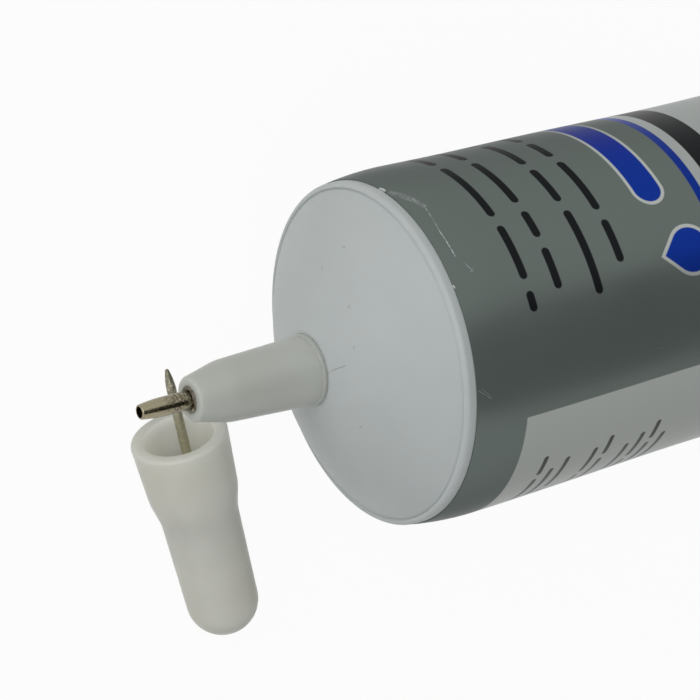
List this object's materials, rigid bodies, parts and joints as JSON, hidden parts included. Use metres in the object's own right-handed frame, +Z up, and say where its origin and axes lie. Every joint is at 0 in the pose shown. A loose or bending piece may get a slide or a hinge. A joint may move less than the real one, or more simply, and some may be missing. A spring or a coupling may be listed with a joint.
{
  "type": "glue tube",
  "caption": "Squeeze tube of contact adhesive lying on its belly, with a domed shoulder, a nozzle with a metal needle tip, and its push-on cap with a sealing pin taken off beside it.",
  "frame": {"origin": "lowest place of the belly, in its flat spot, on the surface that the tube lies on", "axes": "+X along the tube towards the crimped tail, so the nozzle points to -X; +Z up; the loose cap lies on the -Y side of the nozzle"},
  "size_m": [0.1719, 0.0676, 0.041],
  "materials": {
    "film": "glossy printed laminate",
    "shoulder_plastic": "smooth moulded polyethylene",
    "nozzle_plastic": "smooth moulded polypropylene",
    "needle_metal": "dull nickel plate",
    "cap_plastic": "satin moulded polypropylene",
    "pin_metal": "drawn wire"
  },
  "bodies": {
    "root": {"tube_body": "film", "shoulder": "shoulder_plastic", "nozzle": "nozzle_plastic", "needle": "needle_metal", "cap": "cap_plastic", "cap_pin": "pin_metal"}
  },
  "joints": []
}
